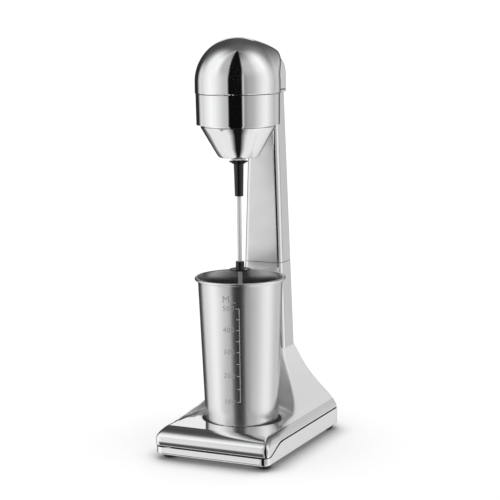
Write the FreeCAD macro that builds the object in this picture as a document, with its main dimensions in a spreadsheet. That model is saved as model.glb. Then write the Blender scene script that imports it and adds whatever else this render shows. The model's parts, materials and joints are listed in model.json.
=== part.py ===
"""Milkshake mixer: tilting motor head on a column, steel cup, stirring spindle.

Lengths are millimetres. Z is up, the cup side faces -Y and the counter is Z = 0.
"""
import FreeCAD, Part
import os
import math
import Sketcher

V = FreeCAD.Vector
os.makedirs("parts", exist_ok=True)
doc = FreeCAD.newDocument("MilkshakeMixer")
sheet = doc.addObject("Spreadsheet::Sheet", "dim")

SIZES = {
    # base
    "base_half_width": 60.0, "base_half_length": 88.5, "base_corner": 8.0,
    "pan_bottom": 4.5, "deck": 29.5, "wall": 2.5, "seam_side": 21.8, "seam_front": 12.6,
    "seam_gap": 0.7, "roll_radius": 17.5, "side_roll": 7.0, "cavity_top": 25.0,
    "cup_y": -17.5, "recess_radius": 40.0, "recess_floor": 27.5, "scoop_radius": 50.5,
    "foot_x": 50.0, "foot_front": -74.0, "foot_rear": 76.0, "foot_top_radius": 8.0,
    "foot_bottom_radius": 6.3, "foot_peg": 2.5,
    "screw_x": 44.0, "screw_front": -54.0, "screw_rear": 58.0, "boss_radius": 4.0,
    "mat_radius": 38.8, "mat_thickness": 1.0, "gland_height": 13.8, "gland_radius": 5.0,
    "gland_bore": 3.4,
    # column
    "column_seam": 176.0, "column_top": 344.1, "flare_top": 90.0, "column_rear": 60.0,
    "column_corner": 5.0, "column_front_low": 31.8, "column_front_seam": 33.2,
    "column_front_top": 36.4, "column_half_low": 23.3, "column_half_seam": 20.4,
    "column_half_top": 14.8, "panel_depth": 5.0, "panel_gap": 0.4,
    # hinge
    "hinge_y": 60.0, "hinge_z": 344.5, "knuckle_radius": 4.0, "knuckle_half": 4.1,
    "hinge_half": 11.0, "pin_radius": 2.0, "pin_clearance": 0.06, "hinge_gap": 0.45,
    # head
    "ring_bottom": 317.4, "ring_top": 346.6, "ring_radius_low": 39.9, "ring_radius_top": 40.3,
    "head_wall": 2.5, "flange_bottom": 344.6, "flange_half": 17.0, "flange_rear": 60.3,
    "arm_half": 14.5, "arm_rear": 35.2, "dome_bottom": 347.1, "dome_radius": 40.9,
    "dome_centre": 358.0, "dome_height": 41.6, "block_half": 17.0, "block_rear": 60.0,
    "crown_rear": 380.8, "crown_middle": 389.0, "crown_front": 395.0, "crown_round": 16.0,
    "cone_top": 316.9, "cone_bottom": 286.0, "cone_radius_top": 37.1,
    "cone_radius_low": 19.2, "collar_top": 322.0, "collar_radius": 37.1,
    "bearing_boss": 12.0, "seal_radius": 7.0, "seal_bottom": 283.4,
    # motor
    "shaft_radius": 3.0, "shaft_bottom": 271.0, "shaft_top": 376.0, "run_gap": 0.05,
    "core_bottom": 322.5, "core_top": 347.0, "core_radius": 28.0, "core_half_depth": 22.0,
    "core_bore": 15.4, "armature_radius": 14.9, "coil_outer": 20.5, "coil_inner": 15.6,
    "coil_height": 6.0, "brush_height": 358.0, "commutator_radius": 8.0,
    "bracket_bottom": 368.0, "motor_screw_x": 24.2,
    # spindle
    "sleeve_bottom": 248.3, "sleeve_top": 282.6, "sleeve_radius_low": 4.1,
    "sleeve_radius_top": 4.8, "saucer_radius": 9.7, "saucer_height": 279.4,
    "rod_radius": 2.1, "rod_bottom": 47.0, "rod_top": 262.0, "hub_bottom": 177.0,
    "hub_top": 184.8, "hub_radius": 4.2, "splash_radius": 10.5, "splash_height": 176.0,
    "agitator_radius": 13.5, "agitator_height": 48.0, "agitator_thickness": 1.4,
    # cup
    "cup_bottom": 28.5, "cup_rim": 168.6, "cup_radius_low": 35.6, "cup_radius_top": 41.2,
    "cup_wall": 1.0, "rim_radius": 42.6, "rim_tube": 1.6, "cup_edge": 3.0,
    # switch
    "switch_z": 265.0, "rocker_half_width": 6.9, "rocker_half_height": 10.0,
    "rocker_axis": 59.0, "pivot_radius": 1.3, "bezel_half_width": 11.0, "bezel_half_height": 15.0,
}
# height, half width, front, rear and corner radius of the flare between base and column
FLARE = [
    (21.8, 59.2, -30.0, 87.6, 8.0), (26.0, 57.6, -27.0, 87.5, 8.0),
    (30.5, 55.0, -22.0, 87.2, 8.0), (35.0, 52.2, -14.0, 86.2, 8.0),
    (40.0, 49.2, -6.0, 83.6, 8.0), (48.0, 44.2, 3.0, 78.4, 7.5),
    (60.0, 36.8, 14.0, 72.2, 6.5), (75.0, 28.8, 24.0, 66.8, 5.6),
    (84.0, 25.2, 28.5, 63.4, 5.2), (90.0, 23.3, 31.8, 60.0, 5.0),
]
for number, (height, half, front, rear, corner) in enumerate(FLARE, start=1):
    SIZES["flare%d_height" % number] = height
    SIZES["flare%d_half" % number] = half
    SIZES["flare%d_front" % number] = front
    SIZES["flare%d_rear" % number] = rear
    SIZES["flare%d_corner" % number] = corner

for row, (name, value) in enumerate(SIZES.items(), start=1):
    sheet.set("A%d" % row, name)
    sheet.set("B%d" % row, str(value))
    sheet.setAlias("B%d" % row, name)
doc.recompute()


def number(text):
    """The value of an expression written with the sheet's names."""
    for name in sorted(SIZES, key=len, reverse=True):
        text = text.replace("dim." + name, "(%r)" % SIZES[name])
    return float(FreeCAD.Units.Quantity(text).Value)


def add(kind, name, **bound):
    item = doc.addObject(kind, name)
    for key, text in bound.items():
        item.setExpression(key, str(text))
    return item


def place(item, x="0", y="0", z="0", axis=None, angle=0.0):
    if axis is not None:
        item.Placement.Rotation = FreeCAD.Rotation(V(*axis), angle)
    for key, text in (("x", x), ("y", y), ("z", z)):
        item.setExpression("Placement.Base." + key, str(text))
    return item


def cylinder(name, radius, bottom, top, x="0", y="0"):
    item = add("Part::Cylinder", name, Radius=radius, Height="%s - (%s)" % (top, bottom))
    return place(item, x, y, bottom)


def cross_cylinder(name, radius, start, end, y, z):
    """A cylinder lying along X."""
    item = add("Part::Cylinder", name, Radius=radius, Height="%s - (%s)" % (end, start))
    return place(item, start, y, z, (0, 1, 0), 90.0)


def cone(name, low_radius, top_radius, bottom, top, x="0", y="0"):
    item = add("Part::Cone", name, Radius1=low_radius, Radius2=top_radius,
               Height="%s - (%s)" % (top, bottom))
    return place(item, x, y, bottom)


def box(name, x0, x1, y0, y1, z0, z1):
    item = add("Part::Box", name, Length="%s - (%s)" % (x1, x0),
               Width="%s - (%s)" % (y1, y0), Height="%s - (%s)" % (z1, z0))
    return place(item, x0, y0, z0)


def fuse(name, *items):
    item = doc.addObject("Part::MultiFuse", name)
    item.Shapes = list(items)
    return item


def common(name, *items):
    item = doc.addObject("Part::MultiCommon", name)
    item.Shapes = list(items)
    return item


def cut(name, base, *tools):
    item = doc.addObject("Part::Cut", name)
    item.Base = base
    item.Tool = tools[0] if len(tools) == 1 else fuse(name + "_tools", *tools)
    return item


def tube(name, outer, inner, bottom, top, x="0", y="0"):
    solid = cylinder(name + "_outer", outer, bottom, top, x, y)
    bore = cylinder(name + "_bore", inner, "%s - 1" % bottom, "%s + 1" % top, x, y)
    return cut(name, solid, bore)


def pin_point(sketch, geometry, vertex, x, y):
    for kind, text in (("DistanceX", x), ("DistanceY", y)):
        value = number(str(text))
        index = sketch.addConstraint(Sketcher.Constraint(kind, -1, 1, geometry, vertex, value))
        sketch.setExpression("Constraints[%d]" % index, str(text))


def polygon(name, corners, plane):
    """A closed sketch; every corner is a pair of expressions (across, up)."""
    sketch = doc.addObject("Sketcher::SketchObject", name)
    if plane == "XZ":
        sketch.Placement.Rotation = FreeCAD.Rotation(V(1, 0, 0), 90.0)
    if plane == "YZ":
        sketch.Placement.Rotation = FreeCAD.Rotation(V(1, 1, 1), 120.0)
    points = [V(number(str(a)), number(str(b)), 0) for a, b in corners]
    count = len(points)
    for i in range(count):
        sketch.addGeometry(Part.LineSegment(points[i], points[(i + 1) % count]), False)
    for i in range(count):
        sketch.addConstraint(Sketcher.Constraint("Coincident", i, 2, (i + 1) % count, 1))
    for i, (a, b) in enumerate(corners):
        pin_point(sketch, i, 1, a, b)
    return sketch


def rounded_section(name, half, front, rear, corner, height):
    """A rounded rectangle at a height, symmetric about X = 0."""
    sketch = doc.addObject("Sketcher::SketchObject", name)
    sketch.setExpression("Placement.Base.z", str(height))
    h, f, r, c = (number(str(t)) for t in (half, front, rear, corner))
    centres = [(h - c, f + c, 270), (h - c, r - c, 0), (c - h, r - c, 90), (c - h, f + c, 180)]
    ends = []
    for cx, cy, start in centres:
        a0, a1 = math.radians(start), math.radians(start + 90)
        arc = Part.ArcOfCircle(Part.Circle(V(cx, cy, 0), V(0, 0, 1), c), a0, a1)
        sketch.addGeometry(arc, False)
        ends.append((arc.StartPoint, arc.EndPoint))
    for i in range(4):
        sketch.addGeometry(Part.LineSegment(ends[i][1], ends[(i + 1) % 4][0]), False)
    for i in range(4):
        sketch.addConstraint(Sketcher.Constraint("Coincident", i, 2, 4 + i, 1))
        sketch.addConstraint(Sketcher.Constraint("Coincident", 4 + i, 2, (i + 1) % 4, 1))
    half, front, rear, corner = ("(%s)" % t for t in (half, front, rear, corner))
    inner = "%s - %s" % (half, corner)
    corners = [
        (inner, front, half, "%s + %s" % (front, corner)),
        (half, "%s - %s" % (rear, corner), inner, rear),
        ("-(%s)" % inner, rear, "-%s" % half, "%s - %s" % (rear, corner)),
        ("-%s" % half, "%s + %s" % (front, corner), "-(%s)" % inner, front),
    ]
    for i, (x0, y0, x1, y1) in enumerate(corners):
        pin_point(sketch, i, 1, x0, y0)
        pin_point(sketch, i, 2, x1, y1)
        index = sketch.addConstraint(Sketcher.Constraint("Radius", i, c))
        sketch.setExpression("Constraints[%d]" % index, corner)
    return sketch


def loft(name, sections, ruled):
    item = doc.addObject("Part::Loft", name)
    item.Sections = sections
    item.Solid = True
    item.Ruled = ruled
    return item


def extrude(name, sketch, direction, length, symmetric=False):
    item = doc.addObject("Part::Extrusion", name)
    item.Base = sketch
    item.DirMode = "Custom"
    item.Dir = V(*direction)
    item.Solid = True
    item.Symmetric = symmetric
    item.setExpression("LengthFwd", str(length))
    return item


def soften(name, base, radius, chosen):
    """Round the edges whose middle point satisfies the test."""
    doc.recompute()
    edges = []
    for index, edge in enumerate(base.Shape.Edges, start=1):
        middle = edge.valueAt((edge.FirstParameter + edge.LastParameter) / 2)
        if chosen(middle, edge):
            edges.append((index, radius, radius))
    item = doc.addObject("Part::Fillet", name)
    item.Base = base
    item.Edges = edges
    return item


nodes = {}
HALF, LONG = "dim.base_half_width", "dim.base_half_length"
FAR = "200"

# ---------------------------------------------------------------- base outline
outline = rounded_section("base_outline", HALF, "-" + LONG, LONG, "dim.base_corner", "dim.pan_bottom")
outline_block = extrude("outline_block", outline, (0, 0, 1), "dim.deck - dim.pan_bottom")
roll_centre = "dim.roll_radius - " + LONG
side_profile = fuse(
    "side_profile",
    box("roll_block", "-100", "100", roll_centre, "100", "0", "dim.deck"),
    box("roll_foot", "-100", "100", "-" + LONG, roll_centre, "0", "dim.deck - dim.roll_radius"),
    cross_cylinder("roll_cylinder", "dim.roll_radius", "-100", "100", roll_centre,
                   "dim.deck - dim.roll_radius"))
edge_centre = "%s - dim.side_roll" % HALF
edge_height = "dim.deck - dim.side_roll"
edge_parts = [
    box("edge_block", "-(%s)" % edge_centre, edge_centre, "-100", "100", "0", "dim.deck"),
    box("edge_foot", "-" + HALF, HALF, "-100", "100", "0", edge_height),
]
for side, sign in (("left", "-"), ("right", "")):
    item = add("Part::Cylinder", "edge_roll_" + side, Radius="dim.side_roll", Height="200")
    edge_parts.append(place(item, "%s(%s)" % (sign, edge_centre), "100", edge_height,
                            (1, 0, 0), 90.0))
front_profile = fuse("front_profile", *edge_parts)

SEAM = [("-58", "-0.6"), ("-64", "-2.6"), ("-70", "-5.2"), ("-76", "-7.6"), ("-81", "-8.9")]


def seam_profile(name, lift):
    """Everything above the line where the shell meets the pan."""
    high = "dim.seam_side + %s" % lift
    corners = [(FAR, FAR), ("-" + FAR, FAR), ("-" + FAR, "dim.seam_front + %s" % lift),
               ("-86", "dim.seam_front + %s" % lift)]
    corners += [(y, "%s + %s" % (high, drop)) for y, drop in reversed(SEAM)]
    corners += [("-52", high), (FAR, high)]
    return extrude(name, polygon(name + "_line", corners, "YZ"), (1, 0, 0), "400", True)


above_shell_edge = seam_profile("above_shell_edge", "0")
above_pan_edge = seam_profile("above_pan_edge", "0 - dim.seam_gap")
base_block = common("base_block", outline_block, side_profile, front_profile, above_shell_edge)

# ---------------------------------------------------------------- base pan
pan_outline = rounded_section("pan_outline", HALF, "-" + LONG, LONG, "dim.base_corner",
                              "dim.pan_bottom")
pan_block = extrude("pan_block", pan_outline, (0, 0, 1), "dim.seam_side - dim.pan_bottom")
pan_soft = soften("pan_soft", pan_block, 2.0, lambda p, e: abs(p.z - SIZES["pan_bottom"]) < 0.01)
pan_inner = rounded_section("pan_inner", HALF + " - dim.wall", "dim.wall - " + LONG,
                            LONG + " - dim.wall", "dim.base_corner - dim.wall",
                            "dim.pan_bottom + dim.wall")
pan_hollow = extrude("pan_hollow", pan_inner, (0, 0, 1), "40")
pan_tools = [above_pan_edge, pan_hollow]
for name, reach in (("front", "dim.foot_front"), ("rear", "dim.foot_rear")):
    for side, x in (("left", "-dim.foot_x"), ("right", "dim.foot_x")):
        pan_tools.append(cylinder("peg_hole_%s_%s" % (name, side), "dim.foot_peg + 0.1",
                                  "0", "20", x, reach))
SCREWS = [(x, y) for x in ("-dim.screw_x", "dim.screw_x") for y in ("dim.screw_front", "dim.screw_rear")]
for i, (x, y) in enumerate(SCREWS):
    pan_tools.append(cylinder("pan_screw_hole_%d" % i, "1.9", "0", "20", x, y))
gland_hole = add("Part::Cylinder", "gland_hole", Radius="dim.gland_radius + 0.1", Height="20")
place(gland_hole, "0", LONG + " + 10", "dim.gland_height", (1, 0, 0), 90.0)
nodes["base_pan"] = cut("base_pan", pan_soft, *pan_tools, gland_hole)

# ---------------------------------------------------------------- base shell
def flare_sections(name, inset):
    sections = []
    for n in range(1, len(FLARE) + 1):
        key = "dim.flare%d_" % n
        corner = key + "corner" if inset == "0" else "%scorner * 0.6" % key
        sections.append(rounded_section(
            "%s_%d" % (name, n), "%shalf - %s" % (key, inset), "%sfront + %s" % (key, inset),
            "%srear - %s" % (key, inset), corner, key + "height"))
    return sections


COLUMN = {
    "low": ("dim.column_half_low", "dim.column_front_low", "dim.flare_top"),
    "seam": ("dim.column_half_seam", "dim.column_front_seam", "dim.column_seam"),
    "top": ("dim.column_half_top", "dim.column_front_top", "dim.column_top"),
}


def column_block(name, inset, low, top, side):
    """A straight tapered length of column between two heights."""
    sections = []
    for mark, shift in ((low, side[0]), (top, side[1])):
        half, front, height = COLUMN[mark]
        corner = "dim.column_corner" if inset == "0" else "1.2"
        sections.append(rounded_section(
            "%s_%s" % (name, mark), "%s - %s" % (half, inset), "%s + %s" % (front, inset),
            "dim.column_rear - %s" % inset, corner, "%s + %s" % (height, shift)))
    return loft(name, sections, True)


flare_outer = loft("flare_outer", flare_sections("flare_ring", "0"), False)
flare_inner_raw = loft("flare_inner_raw", flare_sections("flare_inset", "3"), False)
column_low_outer = column_block("column_low_outer", "0", "low", "seam", ("0", "0"))
column_low_inner = column_block("column_low_inner", "dim.wall", "low", "seam", ("0 - 0.5", "2"))
scoop = cylinder("scoop", "dim.scoop_radius", "dim.deck", "dim.flare_top + 30", "0", "dim.cup_y")
scoop_wall = cylinder("scoop_wall", "dim.scoop_radius + dim.wall", "dim.cavity_top",
                      "dim.flare_top + 40", "0", "dim.cup_y")
recess = cylinder("recess", "dim.recess_radius", "dim.recess_floor", "dim.deck + 1", "0", "dim.cup_y")
flare_inner = cut("flare_inner", flare_inner_raw, scoop_wall)
base_cavity = extrude(
    "base_cavity",
    polygon("base_cavity_line", [
        (LONG + " - 3", "0"), (LONG + " - 3", "dim.seam_side + 1"), (LONG + " - 8", "dim.cavity_top"),
        (roll_centre, "dim.cavity_top"), (roll_centre + " - 7", "dim.cavity_top - 3"),
        (roll_centre + " - 13", "dim.seam_front + 4"), (roll_centre + " - 14", "0")], "YZ"),
    (1, 0, 0), "2 * (%s - 6)" % HALF, True)
shell_mass = fuse("shell_mass", base_block, flare_outer, column_low_outer)
shell_open = cut("shell_open", shell_mass, scoop, recess, base_cavity, flare_inner,
                 column_low_inner)
shell_bosses = []
for i, (x, y) in enumerate(SCREWS):
    reach = "dim.cavity_top + 1" if y == "dim.screw_front" else "41"
    shell_bosses.append(cylinder("boss_%d" % i, "dim.boss_radius", "9.5", reach, x, y))
shell_full = fuse("shell_full", shell_open, *shell_bosses)
shell_tools = [cylinder("boss_hole_%d" % i, "1.4", "0", "24", x, y)
               for i, (x, y) in enumerate(SCREWS)]


def front_slab(name, mark_low, mark_top, shifts, inset, start, end):
    """A slab that follows the column's sloping front, from start to end behind it."""
    sections = []
    for mark, shift in zip((mark_low, mark_top), shifts):
        half, front, height = COLUMN[mark]
        reach = "%s - (%s)" % (half, inset)
        corners = [(sign + "(%s)" % reach, "%s + %s" % (front, depth))
                   for sign, depth in (("-", start), ("", start), ("", end), ("-", end))]
        sketch = polygon("%s_%s" % (name, mark), corners, "XY")
        sketch.setExpression("Placement.Base.z", "%s + %s" % (height, shift))
        sections.append(sketch)
    return loft(name, sections, True)


def front_panel(name, column, mark_low, mark_top, shifts):
    """The column's front cover: a rounded face with a tongue that sits on the channel."""
    slab = front_slab(name + "_slab", mark_low, mark_top, shifts, "0 - 5", "(0 - 5)",
                      "dim.panel_depth")
    tongue = front_slab(name + "_tongue", mark_low, mark_top, shifts, "1.2", "1.5",
                        "(dim.panel_depth + dim.panel_gap)")
    hollow = front_slab(name + "_hollow", mark_low, mark_top, shifts, "dim.wall", "1.8", "8")
    return cut(name, fuse(name + "_solid", common(name + "_face", column, slab), tongue), hollow)


pocket_low = front_slab("pocket_low", "low", "seam", ("2", "4"), "0 - 5", "(0 - 5)",
                        "(dim.panel_depth + dim.panel_gap)")
nodes["base_shell"] = cut("base_shell", shell_full, *shell_tools, pocket_low)
nodes["lower_panel"] = front_panel("lower_panel", column_low_outer, "low", "seam", ("2.4", "0"))

# ---------------------------------------------------------------- base fittings
feet = []
for name, y in (("front", "dim.foot_front"), ("rear", "dim.foot_rear")):
    for side, x in (("left", "-dim.foot_x"), ("right", "dim.foot_x")):
        tag = "%s_%s" % (name, side)
        feet.append(fuse("foot_" + tag,
                         cone("foot_pad_" + tag, "dim.foot_bottom_radius", "dim.foot_top_radius",
                              "0", "dim.pan_bottom", x, y),
                         cylinder("foot_peg_" + tag, "dim.foot_peg", "1", "dim.pan_bottom + 6", x, y)))
nodes["rubber_feet"] = fuse("rubber_feet", *feet)
screws = []
for i, (x, y) in enumerate(SCREWS):
    screws.append(fuse("base_screw_%d" % i,
                       cylinder("screw_head_%d" % i, "3.2", "dim.pan_bottom - 1.8", "dim.pan_bottom",
                                x, y),
                       cylinder("screw_shank_%d" % i, "1.4", "dim.pan_bottom - 1", "20", x, y)))
nodes["base_screws"] = fuse("base_screws", *screws)
nodes["cup_mat"] = cylinder("cup_mat", "dim.mat_radius", "dim.recess_floor",
                            "dim.recess_floor + dim.mat_thickness", "0", "dim.cup_y")
gland_parts = []
for name, radius, y, length in (("barrel", "dim.gland_radius", LONG + " - 0.2", "5"),
                                ("lip", "dim.gland_radius + 1.5", LONG + " - dim.wall - 0.1", "2")):
    item = add("Part::Cylinder", "gland_" + name, Radius=radius, Height=length)
    gland_parts.append(place(item, "0", y, "dim.gland_height", (1, 0, 0), 90.0))
gland_bore = add("Part::Cylinder", "gland_bore_hole", Radius="dim.gland_bore", Height="20")
place(gland_bore, "0", LONG + " + 5", "dim.gland_height", (1, 0, 0), 90.0)
nodes["cord_gland"] = cut("cord_gland", fuse("gland_solid", *gland_parts), gland_bore)

# ---------------------------------------------------------------- upper column
column_up_outer = column_block("column_up_outer", "0", "seam", "top", ("0.5", "0"))
column_up_inner = column_block("column_up_inner", "dim.wall", "seam", "top", ("0 - 1", "1"))
pocket_up = front_slab("pocket_up", "seam", "top", ("0 - 3", "1"), "0 - 5", "(0 - 5)",
                       "(dim.panel_depth + dim.panel_gap)")
hinge_notch = box("hinge_notch", "-(dim.hinge_half + 0.3)", "dim.hinge_half + 0.3",
                  "dim.column_rear - 4", "90", "dim.hinge_z - 5.2", "400")
switch_hole = box("switch_hole", "-9.5", "9.5", "50", "80", "dim.switch_z - 13.5",
                  "dim.switch_z + 13.5")
nodes["column_upper"] = cut("column_upper", column_up_outer, column_up_inner, pocket_up,
                            hinge_notch, switch_hole)
nodes["upper_panel"] = front_panel("upper_panel", column_up_outer, "seam", "top", ("0.5", "0"))
joint_outer = box("joint_outer", "-15", "15", "40", "57.1", "150", "204")
joint_inner = box("joint_inner", "-13", "13", "42", "55.1", "149", "205")
nodes["column_joint"] = cut("column_joint", joint_outer, joint_inner)

# ---------------------------------------------------------------- hinge
plate = box("hinge_plate", "-12", "12", "dim.column_front_top + 5.8", "dim.column_rear - 4.2",
            "dim.hinge_z - 4.9", "dim.column_top")
tongue = box("hinge_tongue", "-dim.hinge_half", "dim.hinge_half", "dim.column_rear - 5",
             "dim.column_rear", "dim.hinge_z - 4.9", "dim.column_top")
barrel = cross_cylinder("hinge_barrel", "dim.knuckle_radius", "-dim.hinge_half", "dim.hinge_half",
                        "dim.hinge_y", "dim.hinge_z")
barrel_gap = cross_cylinder("hinge_barrel_gap", "dim.knuckle_radius + dim.hinge_gap",
                            "-(dim.knuckle_half + 0.25)", "dim.knuckle_half + 0.25",
                            "dim.hinge_y", "dim.hinge_z")
pin_hole = cross_cylinder("hinge_pin_hole", "dim.pin_radius", "-20", "20", "dim.hinge_y",
                          "dim.hinge_z")
nodes["hinge_bracket"] = cut("hinge_bracket", fuse("hinge_solid", plate, tongue, barrel),
                             barrel_gap, pin_hole)
nodes["hinge_pin"] = cross_cylinder("hinge_pin", "dim.pin_radius", "-dim.hinge_half",
                                    "dim.hinge_half", "dim.hinge_y", "dim.hinge_z")

# ---------------------------------------------------------------- head ring
ring_outer = cone("ring_outer", "dim.ring_radius_low", "dim.ring_radius_top", "dim.ring_bottom",
                  "dim.ring_top", "0", "dim.cup_y")
arm = box("arm", "-dim.arm_half", "dim.arm_half", "dim.cup_y + 30", "dim.arm_rear", "dim.ring_bottom",
          "dim.flange_bottom")
flange_line = rounded_section("flange_line", "dim.flange_half", "dim.cup_y + 20", "dim.flange_rear",
                              "4", "dim.flange_bottom")
flange = extrude("flange", flange_line, (0, 0, 1), "dim.ring_top - dim.flange_bottom")
ring_bore = cylinder("ring_bore", "dim.ring_radius_low - dim.head_wall", "dim.ring_bottom - 1",
                     "dim.ring_top + 1", "0", "dim.cup_y")
arm_bore = box("arm_bore", "-(dim.arm_half - dim.head_wall)", "dim.arm_half - dim.head_wall",
               "dim.cup_y + 30", "dim.arm_rear - dim.head_wall", "dim.ring_bottom + dim.head_wall",
               "dim.ring_top + 1")
head_knuckle = cross_cylinder("head_knuckle", "dim.knuckle_radius", "-dim.knuckle_half",
                              "dim.knuckle_half", "dim.hinge_y", "dim.hinge_z")
head_pin_hole = cross_cylinder("head_pin_hole", "dim.pin_radius + dim.pin_clearance", "-20", "20",
                               "dim.hinge_y", "dim.hinge_z")
side_gaps = []
for side, start, end in (("left", "-(dim.hinge_half + 0.4)", "-dim.knuckle_half"),
                         ("right", "dim.knuckle_half", "dim.hinge_half + 0.4")):
    side_gaps.append(cross_cylinder("flange_gap_" + side, "dim.knuckle_radius + dim.hinge_gap",
                                    start, end, "dim.hinge_y", "dim.hinge_z"))
cable_hole = cylinder("cable_hole", "4", "dim.flange_bottom - 1", "dim.ring_top + 1", "0",
                      "dim.cup_y + 62")
ring_solid = cut("ring_solid", fuse("ring_mass", ring_outer, arm, flange), ring_bore, arm_bore)
nodes["head_ring"] = cut("head_ring", fuse("ring_hinged", ring_solid, head_knuckle),
                         head_pin_hole, *side_gaps, cable_hole)

# ---------------------------------------------------------------- dome cover
def dome(name, inset):
    ball = add("Part::Ellipsoid", name + "_ball", Radius1="dim.dome_height - %s" % inset,
               Radius2="dim.dome_radius - %s" % inset)
    ball.Angle1 = -90.0
    place(ball, "0", "dim.cup_y", "dim.dome_centre")
    barrel_part = cylinder(name + "_side", "dim.dome_radius - %s" % inset,
                           "dim.dome_bottom - (%s)" % ("0" if inset == "0" else "1"),
                           "dim.dome_centre", "0", "dim.cup_y")
    keep = cylinder(name + "_keep", "100", "dim.dome_centre", "dim.dome_centre + 100", "0",
                    "dim.cup_y")
    return common(name + "_cap", ball, keep), barrel_part


def crown(name, inset):
    """The block behind the dome that covers the hinge."""
    corners = [
        ("dim.cup_y", "dim.dome_bottom - (%s)" % ("0" if inset == "0" else "1")),
        ("dim.block_rear - %s" % inset, "dim.dome_bottom - (%s)" % ("0" if inset == "0" else "1")),
        ("dim.block_rear - %s" % inset, "dim.crown_rear - %s" % inset),
        ("dim.cup_y + 45", "dim.crown_middle - %s" % inset),
        ("dim.cup_y + 20", "dim.crown_front - %s" % inset),
        ("dim.cup_y", "dim.crown_front + 1.4 - %s" % inset),
    ]
    block = extrude(name, polygon(name + "_line", corners, "YZ"), (1, 0, 0),
                    "2 * (dim.block_half - %s)" % inset, True)
    if inset != "0":
        return block
    rear = SIZES["block_rear"]
    round_rear = soften(name + "_rear", block, SIZES["crown_round"],
                        lambda p, e: abs(p.y - rear) < 0.1 and abs(p.z - SIZES["crown_rear"]) < 0.1)
    return soften(name + "_soft", round_rear, 4.0,
                  lambda p, e: abs(abs(p.x) - SIZES["block_half"]) < 0.1 and p.z > 362.0)


dome_solid = fuse("dome_solid", *dome("dome", "0"), crown("crown", "0"))
dome_hollow = fuse("dome_hollow", *dome("dome_in", "dim.head_wall"))
crown_in = crown("crown_in", "dim.head_wall + 1.5")
barrel_clear = cross_cylinder("barrel_clear", "dim.knuckle_radius + 0.6",
                              "-(dim.hinge_half + 0.5)", "dim.hinge_half + 0.5", "dim.hinge_y",
                              "dim.hinge_z")
crown_limit = box("crown_limit", "-100", "100", "-100", "dim.block_rear - 8", "0", "374")
nodes["dome_cover"] = cut("dome_cover", dome_solid, dome_hollow,
                          common("crown_hollow", crown_in, crown_limit), barrel_clear)

# ---------------------------------------------------------------- lower cone
cone_outer = cone("cone_outer", "dim.cone_radius_low", "dim.cone_radius_top", "dim.cone_bottom",
                  "dim.cone_top", "0", "dim.cup_y")
cone_collar = cylinder("cone_collar", "dim.collar_radius", "dim.cone_top", "dim.collar_top", "0",
                       "dim.cup_y")
cone_hollow = cone("cone_hollow", "dim.cone_radius_low - 1.5", "dim.cone_radius_top - 2.6",
                   "dim.cone_bottom + dim.wall", "dim.cone_top", "0", "dim.cup_y")
collar_hollow = cylinder("collar_hollow", "dim.cone_radius_top - 2.6", "dim.cone_top",
                         "dim.collar_top + 1", "0", "dim.cup_y")
cone_boss = cylinder("cone_boss", "dim.bearing_boss", "dim.cone_bottom", "dim.cone_bottom + 10", "0",
                     "dim.cup_y")
bearing_seat = cylinder("bearing_seat", "9.5", "dim.cone_bottom + 3", "dim.cone_bottom + 11", "0",
                        "dim.cup_y")
cone_bore = cylinder("cone_bore", "5", "dim.cone_bottom - 1", "dim.cone_bottom + 12", "0",
                     "dim.cup_y")
cone_shell = cut("cone_shell", fuse("cone_mass", cone_outer, cone_collar), cone_hollow,
                 collar_hollow)
cone_raw = cut("cone_raw", fuse("cone_full", cone_shell, cone_boss), bearing_seat, cone_bore)
nodes["lower_cone"] = soften(
    "lower_cone", cone_raw, 1.5,
    lambda p, e: abs(p.z - SIZES["cone_bottom"]) < 0.01 and len(e.Vertexes) == 1
    and abs(e.Curve.Radius - SIZES["cone_radius_low"]) < 0.1)
nodes["shaft_seal"] = tube("shaft_seal", "dim.seal_radius", "dim.shaft_radius + 0.35",
                           "dim.seal_bottom", "dim.cone_bottom - 0.05", "0", "dim.cup_y")
nodes["lower_bearing"] = tube("lower_bearing", "9.45", "dim.shaft_radius + dim.run_gap",
                              "dim.cone_bottom + 3.05", "dim.cone_bottom + 9.5", "0", "dim.cup_y")

# ---------------------------------------------------------------- motor
AX = ("0", "dim.cup_y")
screw_holes = [cylinder("motor_hole_%s" % side, "2", "300", "400", sign + "dim.motor_screw_x",
                        "dim.cup_y") for side, sign in (("left", "-"), ("right", ""))]
core_disc = cylinder("core_disc", "dim.core_radius", "dim.core_bottom", "dim.core_top", *AX)
core_box = box("core_box", "-40", "40", "dim.cup_y - dim.core_half_depth",
               "dim.cup_y + dim.core_half_depth", "300", "400")
core_bore = cylinder("core_bore_hole", "dim.core_bore", "300", "400", *AX)
nodes["stator_core"] = cut("stator_core", common("core_mass", core_disc, core_box), core_bore,
                           *screw_holes)
coils = []
for name, low, high in (("low", "dim.core_bottom - 0.2 - dim.coil_height", "dim.core_bottom - 0.2"),
                        ("high", "dim.core_top + 0.2", "dim.core_top + 0.2 + dim.coil_height")):
    coils.append(tube("coil_" + name, "dim.coil_outer", "dim.coil_inner", low, high, *AX))
coil_gap = box("coil_gap", "-3", "3", "-100", "100", "300", "400")
nodes["field_coils"] = cut("field_coils", fuse("coil_rings", *coils), coil_gap)
lower_ring = tube("bracket_ring", "36.6", "25.5", "dim.collar_top + 0.1", "dim.collar_top + 2.6",
                  *AX)
lower_lugs = [box("bracket_lug_" + side, start, end, "dim.cup_y - 7", "dim.cup_y + 7",
                  "dim.collar_top - 2", "dim.core_bottom - 0.05")
              for side, start, end in (("left", "-28.5", "-21.3"), ("right", "21.3", "28.5"))]
lower_ties = [box("bracket_tie_" + side, start, end, "dim.cup_y - 7", "dim.cup_y + 7",
                  "dim.collar_top - 2", "dim.collar_top + 0.4")
              for side, start, end in (("left", "-33", "-21.3"), ("right", "21.3", "33"))]
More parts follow.
